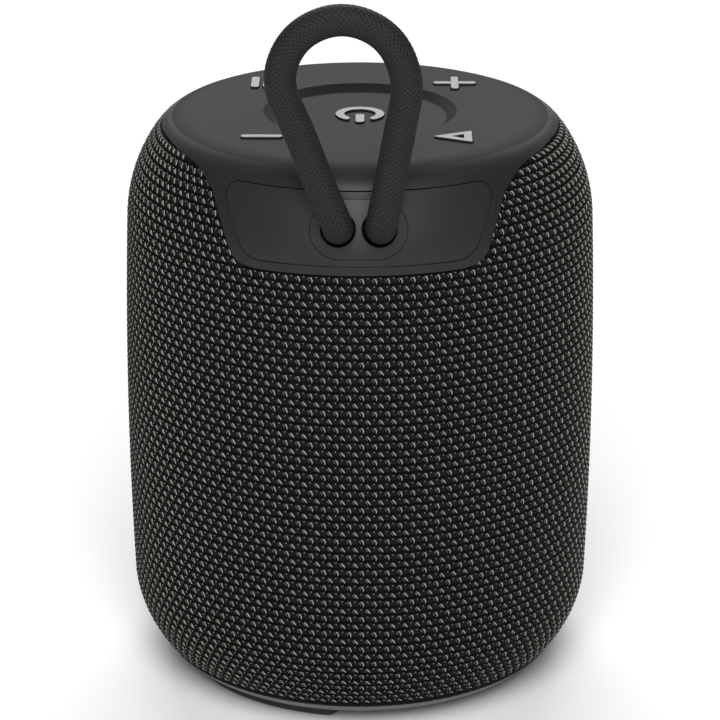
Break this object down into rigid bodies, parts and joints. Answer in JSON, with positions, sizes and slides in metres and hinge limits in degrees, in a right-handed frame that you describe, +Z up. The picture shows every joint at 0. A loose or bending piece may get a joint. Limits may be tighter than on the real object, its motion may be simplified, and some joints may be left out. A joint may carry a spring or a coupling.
{
  "type": "portable bluetooth speaker",
  "caption": "Barrel-shaped portable speaker with woven cloth sleeve, soft top with raised keys, rear port cover and rope carry loop.",
  "frame": {"origin": "on the surface it stands on, below the middle of the barrel", "axes": "+Z up along the barrel, -Y towards the side with the port cover and the carry loop, driver faces +Y"},
  "size_m": [0.088, 0.0933, 0.1394],
  "materials": {
    "soft_cover": "soft-touch, very fine grain",
    "key_symbol": "satin light grey",
    "cap_plastic": "fine texture",
    "port_rubber": "smooth matt silicone",
    "strap_plate": "fine texture",
    "rope": "braided cord",
    "cloth": "woven two-tone speaker cloth",
    "base_plastic": "fine texture",
    "foot_rubber": "matt",
    "inner_plastic": "moulded",
    "steel": "plated",
    "magnet": "ferrite",
    "cone_paper": "pressed cone",
    "surround_rubber": "smooth",
    "coil": "enamelled copper",
    "spider_cloth": "impregnated cloth",
    "board": "solder mask",
    "chip": "moulded package",
    "battery_wrap": "shrink wrap"
  },
  "bodies": {
    "housing": {"aux_jack": "chip", "base_plate": "base_plastic", "base_ring": "base_plastic", "base_screws": "steel", "battery_bracket": "inner_plastic", "battery_cell": "battery_wrap", "board_components": "chip", "cabinet_lid": "inner_plastic", "cabinet_tub": "inner_plastic", "cap_shell": "cap_plastic", "clamp_screws": "steel", "control_board": "board", "control_board_screws": "steel", "driver_frame": "inner_plastic", "driver_gasket": "surround_rubber", "driver_screws": "steel", "driver_surround": "surround_rubber", "fabric_sleeve": "cloth", "feet": "foot_rubber", "front_pole_plate": "steel", "grille_shell": "inner_plastic", "lid_gasket": "surround_rubber", "lid_screws": "steel", "loop_end_left": "rope", "loop_end_right": "rope", "magnet_ring": "magnet", "main_board": "board", "main_board_screws": "steel", "passive_frame_left": "inner_plastic", "passive_frame_right": "inner_plastic", "passive_surround_left": "surround_rubber", "passive_surround_right": "surround_rubber", "port_board": "board", "port_cover": "port_rubber", "rope_clamp": "inner_plastic", "spider": "spider_cloth", "strap_plate": "strap_plate", "tact_switches": "chip", "top_cover": "soft_cover", "usb_port": "steel", "yoke": "steel"},
    "wing_left": {"port_wing_left": "port_rubber"},
    "wing_right": {"port_wing_right": "port_rubber"},
    "carry_loop": {"carry_loop": "rope"},
    "cone": {"driver_cone": "cone_paper", "dust_cap": "cone_paper", "voice_coil": "coil"},
    "passive_left": {"passive_diaphragm_left": "cone_paper", "passive_weight_left": "steel"},
    "passive_right": {"passive_diaphragm_right": "cone_paper", "passive_weight_right": "steel"},
    "key_power": {"key_power": "key_symbol"},
    "key_volume_up": {"key_volume_up": "key_symbol"},
    "key_volume_down": {"key_volume_down": "key_symbol"},
    "key_play": {"key_play": "key_symbol"},
    "key_mode": {"key_mode": "key_symbol"}
  },
  "joints": [
    {"name": "key_power_press", "type": "slide", "parent": "housing", "child": "key_power", "axis": [0, 0, -1], "range_m": [0, 0.00035], "stiffness_N_per_m": 1500, "springref_m": -0.00005},
    {"name": "key_volume_up_press", "type": "slide", "parent": "housing", "child": "key_volume_up", "axis": [0, 0, -1], "range_m": [0, 0.00035], "stiffness_N_per_m": 1500, "springref_m": -0.00005},
    {"name": "key_volume_down_press", "type": "slide", "parent": "housing", "child": "key_volume_down", "axis": [0, 0, -1], "range_m": [0, 0.00035], "stiffness_N_per_m": 1500, "springref_m": -0.00005},
    {"name": "key_play_press", "type": "slide", "parent": "housing", "child": "key_play", "axis": [0, 0, -1], "range_m": [0, 0.00035], "stiffness_N_per_m": 1500, "springref_m": -0.00005},
    {"name": "key_mode_press", "type": "slide", "parent": "housing", "child": "key_mode", "axis": [0, 0, -1], "range_m": [0, 0.00035], "stiffness_N_per_m": 1500, "springref_m": -0.00005},
    {"name": "wing_left_open", "type": "hinge", "parent": "housing", "child": "wing_left", "pos_m": [-0.0115, -0.03976, 0.09784], "axis": [0, 0.3746, 0.9272], "range_deg": [0, 90]},
    {"name": "wing_right_open", "type": "hinge", "parent": "housing", "child": "wing_right", "pos_m": [0.0115, -0.03976, 0.09784], "axis": [0, -0.3746, -0.9272], "range_deg": [0, 90]},
    {"name": "carry_loop_swing", "type": "hinge", "parent": "housing", "child": "carry_loop", "pos_m": [0, -0.04648, 0.10003], "axis": [1, 0, 0], "range_deg": [-20, 150]},
    {"name": "cone_travel", "type": "slide", "parent": "housing", "child": "cone", "axis": [0, 1, 0], "range_m": [-0.0015, 0.0015], "stiffness_N_per_m": 1000, "deforming": ["driver_surround", "spider"]},
    {"name": "passive_left_travel", "type": "slide", "parent": "housing", "child": "passive_left", "axis": [-1, 0, 0], "range_m": [-0.002, 0.002], "stiffness_N_per_m": 500, "deforming": ["passive_surround_left"]},
    {"name": "passive_right_travel", "type": "slide", "parent": "housing", "child": "passive_right", "axis": [1, 0, 0], "range_m": [-0.002, 0.002], "stiffness_N_per_m": 500, "deforming": ["passive_surround_right"]}
  ]
}
